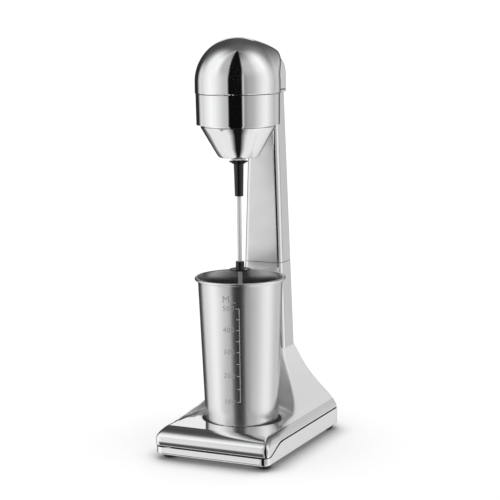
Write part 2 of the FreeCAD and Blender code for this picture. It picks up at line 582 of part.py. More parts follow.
outside_core = cylinder("outside_core", "dim.core_radius + 0.4", "dim.core_bottom - 0.05", "400",
                        *AX)
nodes["lower_bracket"] = cut("lower_bracket",
                             fuse("lower_bracket_mass", lower_ring, *lower_lugs, *lower_ties),
                             outside_core, *screw_holes)
top_bar = box("top_bar", "-27", "27", "dim.cup_y - 8", "dim.cup_y + 8", "dim.bracket_bottom",
              "dim.bracket_bottom + 3")
top_legs = [box("top_leg_" + side, start, end, "dim.cup_y - 7", "dim.cup_y + 7",
                "dim.core_top + 0.05", "dim.bracket_bottom")
            for side, start, end in (("left", "-27", "-21.3"), ("right", "21.3", "27"))]
top_hub = cylinder("top_hub", "10", "dim.bracket_bottom", "dim.bracket_bottom + 9", *AX)
top_seat = cylinder("top_seat", "7.5", "dim.bracket_bottom - 1", "dim.bracket_bottom + 7", *AX)
top_void = cylinder("top_void", "5", "dim.bracket_bottom", "dim.bracket_bottom + 8.2", *AX)
nodes["upper_bracket"] = cut("upper_bracket", fuse("upper_bracket_mass", top_bar, *top_legs,
                                                   top_hub), top_seat, top_void, *screw_holes)
nodes["upper_bearing"] = tube("upper_bearing", "7.45", "dim.shaft_radius + dim.run_gap",
                              "dim.bracket_bottom + 0.5", "dim.bracket_bottom + 6.5", *AX)
motor_screws = []
for side, sign in (("left", "-"), ("right", "")):
    x = sign + "dim.motor_screw_x"
    motor_screws.append(fuse(
        "motor_screw_" + side,
        cylinder("motor_shank_" + side, "1.7", "dim.collar_top - 1", "dim.bracket_bottom + 4", x,
                 "dim.cup_y"),
        cylinder("motor_head_" + side, "3", "dim.bracket_bottom + 3.05", "dim.bracket_bottom + 5",
                 x, "dim.cup_y")))
nodes["motor_screws"] = fuse("motor_screws", *motor_screws)
holders, brushes = [], []
for side, s0, s1, b0, b1 in (("left", "-20", "-9.4", "-17", "-8.2"),
                             ("right", "9.4", "20", "8.2", "17")):
    holder = box("holder_" + side, s0, s1, "dim.cup_y - 4.5", "dim.cup_y + 4.5",
                 "dim.brush_height - 1.5", "dim.bracket_bottom - 0.05")
    slot = box("holder_slot_" + side, "%s - 1" % s0, "%s + 1" % s1, "dim.cup_y - 3.1",
               "dim.cup_y + 3.1", "dim.brush_height - 0.1", "dim.brush_height + 6.1")
    holders.append(cut("brush_holder_" + side, holder, slot))
    brushes.append(box("brush_" + side, b0, b1, "dim.cup_y - 3", "dim.cup_y + 3",
                       "dim.brush_height", "dim.brush_height + 6"))
nodes["brush_holders"] = fuse("brush_holders", *holders)
nodes["carbon_brushes"] = fuse("carbon_brushes", *brushes)

# ---------------------------------------------------------------- rotor
nodes["motor_shaft"] = cylinder("motor_shaft", "dim.shaft_radius", "dim.shaft_bottom",
                                "dim.shaft_top", *AX)
armature = tube("armature", "dim.armature_radius", "dim.shaft_radius", "dim.core_bottom",
                "dim.core_top", *AX)
slots = []
for i in range(12):
    angle = math.radians(30 * i)
    x = "(dim.armature_radius - 1.2) * %.6f" % math.cos(angle)
    y = "dim.cup_y + (dim.armature_radius - 1.2) * %.6f" % math.sin(angle)
    slots.append(cylinder("armature_slot_%d" % i, "1.5", "300", "380", x, y))
nodes["armature_core"] = cut("armature_core", armature, *slots)
nodes["armature_windings"] = fuse(
    "armature_windings",
    tube("winding_low", "13", "dim.shaft_radius", "dim.core_bottom - 5.5", "dim.core_bottom", *AX),
    tube("winding_high", "13", "dim.shaft_radius", "dim.core_top", "dim.core_top + 5.5", *AX))
commutator = tube("commutator_ring", "dim.commutator_radius", "dim.shaft_radius",
                  "dim.brush_height - 3", "dim.brush_height + 8.5", *AX)
bars = []
for i in range(12):
    item = box("commutator_gap_%d" % i, "0", "12", "-0.25", "0.25", "dim.brush_height - 1.5", "390")
    item.setExpression("Placement.Base.x", "(dim.commutator_radius - 1) * %.6f"
                       % math.cos(math.radians(30 * i + 15)))
    item.setExpression("Placement.Base.y", "dim.cup_y + (dim.commutator_radius - 1) * %.6f"
                       % math.sin(math.radians(30 * i + 15)))
    item.Placement.Rotation = FreeCAD.Rotation(V(0, 0, 1), 30.0 * i + 15.0)
    bars.append(item)
nodes["commutator"] = cut("commutator", commutator, *bars)
blades = [tube("fan_hub", "6", "dim.shaft_radius", "300", "309", *AX),
          tube("fan_disc", "20", "5", "307.5", "309", *AX)]
for i in range(8):
    item = box("fan_blade_%d" % i, "0", "14.6", "-0.7", "0.7", "301", "308")
    item.setExpression("Placement.Base.x", "5.2 * %.6f" % math.cos(math.radians(45 * i)))
    item.setExpression("Placement.Base.y",
                       "dim.cup_y + 5.2 * %.6f" % math.sin(math.radians(45 * i)))
    item.Placement.Rotation = FreeCAD.Rotation(V(0, 0, 1), 45.0 * i)
    blades.append(item)
nodes["cooling_fan"] = fuse("cooling_fan", *blades)

# ---------------------------------------------------------------- spindle
sleeve_body = cone("sleeve_body", "dim.sleeve_radius_low", "dim.sleeve_radius_top",
                   "dim.sleeve_bottom", "dim.saucer_height", *AX)
sleeve_neck = cylinder("sleeve_neck", "dim.sleeve_radius_top", "dim.saucer_height", "dim.sleeve_top",
                       *AX)
saucer = cone("saucer", "5.5", "dim.saucer_radius", "dim.saucer_height", "dim.sleeve_top - 0.6", *AX)
saucer_dish = cone("saucer_dish", "4.9", "dim.saucer_radius - 0.9", "dim.saucer_height + 1.2",
                   "dim.sleeve_top", *AX)
saucer_ring = cut("saucer_ring", saucer, saucer_dish)
sleeve_bore = cylinder("sleeve_bore", "dim.shaft_radius + 0.03", "dim.shaft_bottom - 1.5",
                       "dim.sleeve_top + 1", *AX)
rod_bore = cylinder("rod_bore", "dim.rod_radius", "dim.sleeve_bottom - 1", "dim.rod_top", *AX)
nodes["coupling_sleeve"] = cut("coupling_sleeve",
                               fuse("sleeve_mass", sleeve_body, sleeve_neck, saucer_ring),
                               sleeve_bore, rod_bore)
nodes["spindle_rod"] = cylinder("spindle_rod", "dim.rod_radius", "dim.rod_bottom", "dim.rod_top", *AX)
hub = tube("splash_hub", "dim.hub_radius", "dim.rod_radius", "dim.hub_bottom", "dim.hub_top", *AX)
dish = cut("splash_dish",
           cone("dish_outer", "dim.splash_radius", "6", "dim.splash_height",
                "dim.splash_height + 2.6", *AX),
           cone("dish_inner", "dim.splash_radius - 1", "4.6", "dim.splash_height - 0.6",
                "dim.splash_height + 1.2", *AX),
           cylinder("dish_bore", "dim.rod_radius", "150", "200", *AX))
nodes["splash_disc"] = fuse("splash_disc", hub, dish)
blade_disc = tube("blade_disc", "dim.agitator_radius", "dim.rod_radius", "dim.agitator_height",
                  "dim.agitator_height + dim.agitator_thickness", *AX)
scallops = []
for i in range(6):
    angle = math.radians(60 * i)
    scallops.append(cylinder("scallop_%d" % i, "3.6", "40", "60",
                             "(dim.agitator_radius + 0.8) * %.6f" % math.cos(angle),
                             "dim.cup_y + (dim.agitator_radius + 0.8) * %.6f" % math.sin(angle)))
blade_hub = tube("blade_hub", "4", "dim.rod_radius", "dim.agitator_height - 1.6",
                 "dim.agitator_height + 5", *AX)
blade_tip = cone("blade_tip", "2", "4", "dim.agitator_height - 3.6", "dim.rod_bottom - 0.6", *AX)
nodes["agitator"] = fuse("agitator", cut("blade_plate", blade_disc, *scallops), blade_hub,
                         blade_tip)

# ---------------------------------------------------------------- cup
cup_body = cone("cup_body", "dim.cup_radius_low", "dim.cup_radius_top", "dim.cup_bottom",
                "dim.cup_rim", *AX)
cup_soft = soften("cup_soft", cup_body, SIZES["cup_edge"],
                  lambda p, e: abs(p.z - SIZES["cup_bottom"]) < 0.01 and len(e.Vertexes) == 1)
cup_inside = cone("cup_inside", "dim.cup_radius_low - dim.cup_wall", "dim.cup_radius_top - dim.cup_wall",
                  "dim.cup_bottom + dim.cup_wall", "dim.cup_rim + 0.1", *AX)
cup_inside_soft = soften("cup_inside_soft", cup_inside, 2.4,
                         lambda p, e: abs(p.z - SIZES["cup_bottom"] - SIZES["cup_wall"]) < 0.01
                         and len(e.Vertexes) == 1)
cup_rim = add("Part::Torus", "cup_rim_ring", Radius1="dim.rim_radius", Radius2="dim.rim_tube")
place(cup_rim, "0", "dim.cup_y", "dim.cup_rim")
nodes["mixing_cup"] = fuse("mixing_cup", cut("cup_shell", cup_soft, cup_inside_soft), cup_rim)

# ---------------------------------------------------------------- switch
bezel_plate = box("bezel_plate", "-dim.bezel_half_width", "dim.bezel_half_width",
                  "dim.column_rear + 0.05", "dim.column_rear + 2", "dim.switch_z - dim.bezel_half_height",
                  "dim.switch_z + dim.bezel_half_height")
bezel_sleeve = box("bezel_sleeve", "-9.2", "9.2", "52", "dim.column_rear + 1",
                   "dim.switch_z - 13.2", "dim.switch_z + 13.2")
bezel_window = box("bezel_window", "-(dim.rocker_half_width + 0.5)", "dim.rocker_half_width + 0.5",
                   "40", "90", "dim.switch_z - dim.rocker_half_height - 1",
                   "dim.switch_z + dim.rocker_half_height + 1")
bezel_soft = soften("bezel_soft", bezel_plate, 1.0,
                    lambda p, e: abs(p.y - SIZES["column_rear"] - 2) < 0.01)
nodes["switch_bezel"] = cut("switch_bezel", fuse("bezel_mass", bezel_soft, bezel_sleeve),
                            bezel_window)
nodes["switch_body"] = box("switch_body", "-9", "9", "40", "51.9", "dim.switch_z - 13",
                           "dim.switch_z + 13")
rocker_line = polygon("rocker_line", [
    ("dim.rocker_axis - 2.6", "dim.switch_z - dim.rocker_half_height"),
    ("dim.rocker_axis + 3.4", "dim.switch_z - dim.rocker_half_height"),
    ("dim.rocker_axis + 3.0", "dim.switch_z - 5"), ("dim.rocker_axis + 2.8", "dim.switch_z"),
    ("dim.rocker_axis + 3.0", "dim.switch_z + 5"),
    ("dim.rocker_axis + 3.4", "dim.switch_z + dim.rocker_half_height"),
    ("dim.rocker_axis - 2.6", "dim.switch_z + dim.rocker_half_height")], "YZ")
rocker_cap = extrude("rocker_cap", rocker_line, (1, 0, 0), "2 * dim.rocker_half_width", True)
rocker_pivot = cross_cylinder("rocker_pivot", "dim.pivot_radius", "-(dim.rocker_half_width + 0.3)",
                              "dim.rocker_half_width + 0.3", "dim.rocker_axis", "dim.switch_z")
nodes["rocker_switch"] = fuse("rocker_switch", rocker_cap, rocker_pivot)

# ---------------------------------------------------------------- write the parts
doc.recompute()
for item in doc.Objects:
    if "Invalid" in item.State or "Error" in item.State:
        raise RuntimeError("%s did not build: %s" % (item.Name, item.State))
for name, item in nodes.items():
    shape = item.Shape
    if shape.isNull() or not shape.isValid() or shape.Volume <= 0:
        raise RuntimeError("%s has no valid solid" % name)
    shape.exportStep("parts/%s.step" % name)
    bounds = shape.BoundBox
    print("%-18s %2d solids %9.0f mm3  x %.1f %.1f  y %.1f %.1f  z %.1f %.1f" % (
        name, len(shape.Solids), shape.Volume, bounds.XMin, bounds.XMax, bounds.YMin,
        bounds.YMax, bounds.ZMin, bounds.ZMax))
print(len(nodes), "nodes")
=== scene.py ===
"""Looks for the milkshake mixer: chrome body, brushed steel cup and black drive parts."""

import json
import math

import bmesh
import bpy
import numpy as np
from mathutils import Matrix, Vector


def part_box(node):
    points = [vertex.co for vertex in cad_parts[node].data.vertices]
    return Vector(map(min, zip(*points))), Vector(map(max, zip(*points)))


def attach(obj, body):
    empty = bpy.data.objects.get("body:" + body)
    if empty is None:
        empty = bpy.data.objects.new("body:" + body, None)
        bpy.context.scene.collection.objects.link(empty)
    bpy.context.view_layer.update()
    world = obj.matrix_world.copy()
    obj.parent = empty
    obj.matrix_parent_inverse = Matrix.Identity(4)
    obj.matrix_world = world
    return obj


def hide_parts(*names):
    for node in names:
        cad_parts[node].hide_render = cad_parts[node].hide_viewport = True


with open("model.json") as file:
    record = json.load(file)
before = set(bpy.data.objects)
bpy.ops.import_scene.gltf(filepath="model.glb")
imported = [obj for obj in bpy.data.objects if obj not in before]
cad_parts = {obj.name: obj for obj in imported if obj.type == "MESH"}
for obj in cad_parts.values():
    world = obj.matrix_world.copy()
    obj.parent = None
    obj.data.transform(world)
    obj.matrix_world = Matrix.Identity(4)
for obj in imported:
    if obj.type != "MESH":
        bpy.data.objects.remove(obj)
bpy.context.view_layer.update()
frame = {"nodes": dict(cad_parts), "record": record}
nodes = frame["nodes"]

MM = 1000.0
AXIS_Y = sum(c.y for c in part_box("motor_shaft")) / 2
CUP_Y = AXIS_Y * MM
VIEW_SIDE = math.radians(25.53)
VIEW_PITCH, VIEW_ROLL = math.radians(-8.958), math.radians(-0.712)
CAMERA_RIGHT, CAMERA_AHEAD, CAMERA_HEIGHT = 0.6542, 1.34694, 0.43165
LENS, SENSOR = 112.92, 36.0


# ------------------------------------------------------------------ node helpers
class Tree:
    """A small wrapper that makes shader node trees short to write."""

    def __init__(self, tree):
        self.tree = tree
        self.tree.nodes.clear()

    def add(self, kind, inputs=None, **settings):
        node = self.tree.nodes.new(kind)
        for key, value in settings.items():
            setattr(node, key, value)
        for key, value in (inputs or {}).items():
            self.feed(node.inputs[key], value)
        return node

    def feed(self, socket, value):
        if isinstance(value, bpy.types.NodeSocket):
            self.tree.links.new(value, socket)
        else:
            socket.default_value = value

    def math(self, operation, *values, clamp=False):
        node = self.add("ShaderNodeMath", operation=operation, use_clamp=clamp)
        for socket, value in zip(node.inputs, values):
            self.feed(socket, value)
        return node.outputs[0]

    def ramp(self, value, stops, interpolation="LINEAR"):
        node = self.add("ShaderNodeValToRGB", {"Fac": value})
        node.color_ramp.interpolation = interpolation
        elements = node.color_ramp.elements
        while len(elements) < len(stops):
            elements.new(0.5)
        for element, (place, level) in zip(elements, stops):
            element.position = place
            element.color = (level, level, level, 1) if isinstance(level, float) else level
        return node.outputs["Color"]

    def mix(self, factor, a, b):
        node = self.add("ShaderNodeMix", data_type="RGBA")
        self.feed(node.inputs["Factor"], factor)
        self.feed(node.inputs["A"], a)
        self.feed(node.inputs["B"], b)
        return node.outputs["Result"]

    def sideways(self):
        """How far the surface faces left or right, from 0 to 1."""
        normal = self.add("ShaderNodeTexCoord").outputs["Normal"]
        parts = self.add("ShaderNodeSeparateXYZ", {0: normal})
        return self.math("ABSOLUTE", parts.outputs["X"])

    def span(self, value, low, high, to_low=0.0, to_high=1.0, smooth=False):
        kind = "SMOOTHSTEP" if smooth else "LINEAR"
        node = self.add("ShaderNodeMapRange", {"Value": value}, interpolation_type=kind)
        node.inputs["From Min"].default_value = low
        node.inputs["From Max"].default_value = high
        node.inputs["To Min"].default_value = to_low
        node.inputs["To Max"].default_value = to_high
        return node.outputs["Result"]


def grey(level):
    return (level, level, level, 1.0)


# ------------------------------------------------------------------ studio
def studio_world():
    """White rooms, black flags and a dark backdrop, laid out round the mixer by direction.

    Mirrors see bands of grey by compass turn, one band for each range of height above or
    below the horizon. Everything else is lit by plain white.
    """
    world = bpy.data.worlds.new("studio")
    bpy.context.scene.world = world
    world.use_nodes = True
    t = Tree(world.node_tree)
    direction = t.add("ShaderNodeTexCoord").outputs["Generated"]
    parts = t.add("ShaderNodeSeparateXYZ", {"Vector": direction})
    x, y, z = (parts.outputs[k] for k in "XYZ")
    c, s = math.cos(VIEW_SIDE), math.sin(VIEW_SIDE)
    ahead = t.math("SUBTRACT", t.math("MULTIPLY", x, s), t.math("MULTIPLY", y, c))
    across = t.math("ADD", t.math("MULTIPLY", x, c), t.math("MULTIPLY", y, s))
    turn = t.math("ARCTAN2", across, ahead)
    fraction = t.span(turn, -math.pi, math.pi)
    rise = t.math("ARCSINE", z)

    def at(degrees, level):
        return ((degrees + 180.0) / 360.0, level)

    low = t.ramp(fraction, [
        at(-180, 0.07), at(-164, 0.05), at(-145, 0.02), at(-134, 0.04), at(-129, 0.44),
        at(-121, 0.84), at(-113, 0.74), at(-98, 0.92), at(-80, 1.10), at(-64, 1.0),
        at(-50, 0.80), at(-38, 0.62), at(-28, 0.56), at(-24, 0.004), at(11, 0.004),
        at(14, 0.64), at(16, 0.62), at(19, 0.29), at(28, 0.42), at(44, 0.52), at(56, 0.72),
        at(72, 0.95), at(86, 1.0), at(104, 0.72), at(119, 0.55), at(131, 0.66),
        at(141, 0.60), at(150, 0.36), at(160, 0.10), at(170, 0.05), at(180, 0.07)])
    high = t.ramp(fraction, [
        at(-180, 0.09), at(-158, 0.06), at(-140, 0.08), at(-128, 0.18), at(-116, 0.45),
        at(-100, 1.0), at(-64, 1.1), at(-48, 0.55), at(-27, 0.50), at(-23, 0.004),
        at(12, 0.004), at(16, 0.50), at(44, 0.62), at(62, 0.95), at(84, 1.15),
        at(98, 0.85), at(110, 0.55), at(122, 0.30), at(136, 0.20), at(156, 0.10),
        at(180, 0.09)])
    floor = t.ramp(fraction, [
        at(-180, 0.15), at(-160, 0.10), at(-136, 0.30), at(-128, 0.90), at(-76, 0.95),
        at(-72, 0.50), at(-66, 0.08), at(-42, 0.10), at(-34, 0.55), at(-24, 0.25),
        at(-16, 0.01), at(10, 0.01), at(20, 0.25), at(34, 0.88), at(70, 1.0),
        at(129, 0.88), at(160, 0.60), at(180, 0.15)])
    below = t.ramp(fraction, [
        at(-180, 0.10), at(-165, 0.12), at(-140, 0.75), at(-90, 0.95), at(-48, 0.90),
        at(-30, 0.30), at(-19, 0.01), at(15, 0.01), at(26, 0.28), at(46, 0.88),
        at(80, 0.95), at(130, 0.50), at(165, 0.12), at(180, 0.10)])
    top = t.ramp(fraction, [
        at(-180, 0.13), at(-110, 0.16), at(-75, 0.24), at(-58, 0.48), at(-38, 0.40),
        at(-24, 0.10), at(-18, 0.004),
        at(12, 0.004), at(20, 0.10), at(60, 0.25), at(110, 0.16), at(180, 0.13)])

    def between(start, end):
        """0 to 1 as the height above the horizon goes from start to end, in degrees."""
        return t.span(rise, math.radians(start), math.radians(end), smooth=True)

    shade = t.mix(between(8, 32), low, high)
    shade = t.mix(between(46, 84), shade, top)
    shade = t.mix(between(-17, -27), shade, floor)
    shade = t.mix(between(-47, -51), shade, below)
    behind = t.span(t.math("ABSOLUTE", turn), math.radians(168), math.radians(174), smooth=True)
    horizon = t.math("MULTIPLY", between(9, 12), between(21, 17))
    shade = t.mix(t.math("MULTIPLY", behind, horizon), shade, grey(0.95))
    path = t.add("ShaderNodeLightPath")
    shiny = t.add("ShaderNodeBackground", {"Color": shade, "Strength": 1.0})
    plain = t.add("ShaderNodeBackground", {"Color": grey(1.0), "Strength": 1.12})
    blend = t.add("ShaderNodeMixShader", {0: path.outputs["Is Glossy Ray"]})
    t.feed(blend.inputs[1], plain.outputs[0])
    t.feed(blend.inputs[2], shiny.outputs[0])
    t.add("ShaderNodeOutputWorld", {"Surface": blend.outputs[0]})


def pale_floor():
    """A white disc with a painted contact shadow, a little darker right beside whatever stands
    on it.
    """
    bpy.ops.mesh.primitive_circle_add(vertices=96, radius=30.0, fill_type="NGON",
                                      location=(0, 0, -0.0005))
    floor = bpy.context.object
    floor.name = "studio_floor"
    material = bpy.data.materials.new("floor_white")
    material.use_nodes = True
    t = Tree(material.node_tree)
    # Painted shadow: the floor's colour darkens where ambient occlusion finds the mixer close
    # by.
    nearby = t.add("ShaderNodeAmbientOcclusion", {"Distance": 0.028}, samples=12)
    unshadowed = t.span(nearby.outputs["AO"], 0.45, 0.96, smooth=True)
    tint = t.mix(unshadowed, grey(0.46), grey(0.96))
    shader = t.add("ShaderNodeBsdfDiffuse", {"Color": tint})
    t.add("ShaderNodeOutputMaterial", {"Surface": shader.outputs[0]})
    floor.data.materials.append(material)
    floor.visible_glossy = False


def studio_camera():
    """A long lens a metre and a half away, a little above the dome."""
    flat = math.cos(VIEW_PITCH)
    ahead = Vector((-math.sin(VIEW_SIDE) * flat, math.cos(VIEW_SIDE) * flat,
                    math.sin(VIEW_PITCH)))
    right = Vector((math.cos(VIEW_SIDE), math.sin(VIEW_SIDE), 0))
    up = right.cross(ahead)
    side = math.cos(VIEW_ROLL) * right + math.sin(VIEW_ROLL) * up
    top = math.cos(VIEW_ROLL) * up - math.sin(VIEW_ROLL) * right
    data = bpy.data.cameras.new("studio_camera")
    data.sensor_width = SENSOR
    data.lens = LENS
    data.clip_end = 100.0
    camera = bpy.data.objects.new("studio_camera", data)
    bpy.context.scene.collection.objects.link(camera)
    place = Matrix((side, top, -ahead)).transposed().to_4x4()
    place.translation = Vector((CAMERA_RIGHT, AXIS_Y - CAMERA_AHEAD, CAMERA_HEIGHT))
    camera.matrix_world = place
    bpy.context.scene.camera = camera


# ------------------------------------------------------------------ materials
def new_material(name):
    material = bpy.data.materials.new(name)
    material.use_nodes = True
    return material, Tree(material.node_tree)


def chrome(name, level=0.86, roughness=0.05, crevice=0.003, satin_above=None, corners=None):
    """Bright plating: a near mirror with faint waviness, haze and painted shade, near black, in
    the joints and crevices.

    satin_above is a height above which the surface, and below it the flanks, is satin.
    corners is the roughness of corners that turn from the front to the side.
    """
    material, t = new_material(name)
    place = t.add("ShaderNodeTexCoord").outputs["Object"]
    haze = t.add("ShaderNodeTexNoise", {"Vector": place, "Scale": 55.0, "Detail": 3.0})
    fog = t.span(haze.outputs["Fac"], 0.3, 0.7, roughness * 0.85, roughness * 1.15)
    metal = 1.0
    if satin_above:
        height = t.add("ShaderNodeSeparateXYZ", {"Vector": place}).outputs["Z"]
        raised = t.span(height, satin_above, satin_above + 0.0015, smooth=True)
        flank = t.span(t.sideways(), 0.90, 0.98, smooth=True)
        satin = t.math("MAXIMUM", raised, flank)
        fog = t.math("ADD", fog, t.math("MULTIPLY", satin, 0.30))
        metal = t.math("SUBTRACT", 1.0, t.math("MULTIPLY", satin, 0.45))
    if corners:
        sideways = t.sideways()
        corner = t.math("MULTIPLY", t.span(sideways, 0.12, 0.30, smooth=True),
                        t.span(sideways, 0.98, 0.90, smooth=True))
        fog = t.mix(corner, fog, grey(corners))
    wave = t.add("ShaderNodeTexNoise", {"Vector": place, "Scale": 14.0, "Detail": 1.0})
    bump = t.add("ShaderNodeBump", {"Height": wave.outputs["Fac"], "Strength": 0.008,
                                    "Distance": 0.001})
    tint = t.mix(haze.outputs["Fac"], (level * 0.985, level * 0.99, level, 1), grey(level))
    # Painted shade: the colour goes near black where ambient occlusion finds surfaces close by,
    # in joints, gaps and crevices.
    crevice_occlusion = t.add("ShaderNodeAmbientOcclusion", {"Distance": crevice}, samples=8,
                   only_local=False)
    open_to_light = t.span(crevice_occlusion.outputs["AO"], 0.25, 0.60, smooth=True)
    tint = t.mix(open_to_light, grey(0.01), tint)
    shader = t.add("ShaderNodeBsdfPrincipled", {
        "Base Color": tint, "Metallic": metal, "Roughness": fog, "Normal": bump.outputs[0]})
    t.add("ShaderNodeOutputMaterial", {"Surface": shader.outputs[0]})
    return material


def brushed_steel(name, level=0.72, roughness=0.28, streak=0.08, inside=None, metal=1.0):
    """Fine turning lines. inside is a painted shade: the darker tint of the faces that look at
    the drive axis, such as the cup's interior.
    """
    material, t = new_material(name)
    place = t.add("ShaderNodeTexCoord").outputs["Object"]
    stretch = t.add("ShaderNodeMapping", {"Vector": place, "Scale": (6.0, 6.0, 900.0)})
    lines = t.add("ShaderNodeTexNoise", {"Vector": stretch.outputs[0], "Scale": 3.0,
                                         "Detail": 4.0})
    bump = t.add("ShaderNodeBump", {"Height": lines.outputs["Fac"], "Strength": streak,
                                    "Distance": 0.0004})
    fog = t.span(lines.outputs["Fac"], 0.3, 0.7, roughness * 0.995, roughness * 1.005)
    tint = t.mix(lines.outputs["Fac"], grey(level * 0.998), grey(level * 1.002))
    # Painted shade: faces turned towards the drive axis, the inside of the cup, are darkened to
    # the inside tint.
    if inside:
        local = t.add("ShaderNodeTexCoord").outputs
        arm = t.add("ShaderNodeVectorMath", {0: local["Object"], 1: (0.0, AXIS_Y, 0.0)},
                    operation="SUBTRACT")
        flat = t.add("ShaderNodeVectorMath", {0: arm.outputs[0], 1: (1.0, 1.0, 0.0)},
                     operation="MULTIPLY")
        unit = t.add("ShaderNodeVectorMath", {0: flat.outputs[0]}, operation="NORMALIZE")
        facing = t.add("ShaderNodeVectorMath", {0: unit.outputs[0], 1: local["Normal"]},
                       operation="DOT_PRODUCT")
        inner_shade = t.span(facing.outputs["Value"], -0.2, -0.8, smooth=True)
        tint = t.mix(inner_shade, tint, grey(inside))
    shader = t.add("ShaderNodeBsdfPrincipled", {
        "Base Color": tint, "Metallic": metal, "Roughness": fog, "Normal": bump.outputs[0]})
    t.add("ShaderNodeOutputMaterial", {"Surface": shader.outputs[0]})
    return material


def plastic(name, colour, roughness, grain=0.04, coat=0.0):
    """Moulded material with a fine grain and slightly uneven colour and gloss."""
    material, t = new_material(name)
    place = t.add("ShaderNodeTexCoord").outputs["Object"]
    noise = t.add("ShaderNodeTexNoise", {"Vector": place, "Scale": 900.0, "Detail": 2.0})
    bump = t.add("ShaderNodeBump", {"Height": noise.outputs["Fac"], "Strength": grain,
                                    "Distance": 0.0003})
    fog = t.span(noise.outputs["Fac"], 0.3, 0.7, roughness * 0.85, roughness * 1.15)
    dark = tuple(0.9 * v for v in colour) + (1.0,)
    light = tuple(min(1.0, 1.1 * v) for v in colour) + (1.0,)
    shader = t.add("ShaderNodeBsdfPrincipled", {
        "Base Color": t.mix(noise.outputs["Fac"], dark, light), "Roughness": fog,
        "Coat Weight": coat, "Normal": bump.outputs[0]})
    t.add("ShaderNodeOutputMaterial", {"Surface": shader.outputs[0]})
    return material


MATERIALS = {
    # Every chrome here paints shade into its joints and crevices; base_chrome does it over the
    # shortest reach.
    "base_chrome": chrome("base_chrome", 0.86, 0.08, 0.0015, satin_above=0.0298),
    "column_chrome": chrome("column_chrome", 0.86, 0.35, corners=0.12),
    "head_chrome": chrome("head_chrome"),
    "black_rubber": plastic("black_rubber", (0.012, 0.012, 0.013), 0.55, 0.25),
    # cup_steel paints shade on the cup's interior with inside=0.30.
    "cup_steel": brushed_steel("cup_steel", 0.86, 0.25, 0.002, inside=0.30),
    "cup_scale": brushed_steel("cup_scale", 0.95, 0.60, 0.002),
    "cup_numbers": brushed_steel("cup_numbers", 0.66, 0.60, 0.002),
    "polished_steel": brushed_steel("polished_steel", 0.62, 0.30, 0.002, metal=0.5),
    "bright_steel": brushed_steel("bright_steel", 0.62, 0.35),
    "black_plastic": plastic("black_plastic", (0.004, 0.004, 0.0045), 0.16, 0.02),
    "inner_plastic": plastic("inner_plastic", (0.03, 0.03, 0.032), 0.5, 0.12),
    "light_seal": plastic("light_seal", (0.70, 0.70, 0.68), 0.35, 0.05),
    "iron_core": brushed_steel("iron_core", 0.30, 0.55),
    "copper": plastic("copper", (0.45, 0.20, 0.09), 0.40, 0.30, 0.3),
    "carbon": plastic("carbon", (0.04, 0.04, 0.042), 0.6, 0.2),
    "cast_alloy": brushed_steel("cast_alloy", 0.60, 0.45),
    "bracket_steel": brushed_steel("bracket_steel", 0.50, 0.40),
}
SLOTS = {entry["node"]: entry["material_slot"] for entry in frame["record"]["subparts"]}


def dress(obj, slot):
    """Give an object the one material of its slot."""
    obj.data.materials.clear()
    obj.data.materials.append(MATERIALS[slot])


for node_name, node_object in nodes.items():
    dress(node_object, SLOTS[node_name])


# ------------------------------------------------------------------ implicit surfaces, in mm
def smooth_min(a, b, reach):
    """The lesser of two distances, rounded where they differ by less than reach."""
    step = np.maximum(reach - np.abs(a - b), 0.0)
    return np.minimum(a, b) - step * step / (4.0 * reach)


def smooth_max(a, b, reach):
    return -smooth_min(-a, -b, reach)


def smooth_step(value, low, high):
    t = np.clip((value - low) / (high - low), 0.0, 1.0)
    return t * t * (3.0 - 2.0 * t)


def round_corner(a, b, radius):
    """Where both distances are negative, with the corner between them rounded."""
    a, b = a + radius, b + radius
    return (np.hypot(np.maximum(a, 0.0), np.maximum(b, 0.0))
            + np.minimum(np.maximum(a, b), 0.0) - radius)


def slope_of(field, points):
    """The field's gradient at each point, by central differences."""
    step = 0.02
    slope = np.empty_like(points)
    for k in range(3):
        ahead, behind = points.copy(), points.copy()
        ahead[:, k] += step
        behind[:, k] -= step
        slope[:, k] = (field(*ahead.T) - field(*behind.T)) / (2 * step)
    return slope


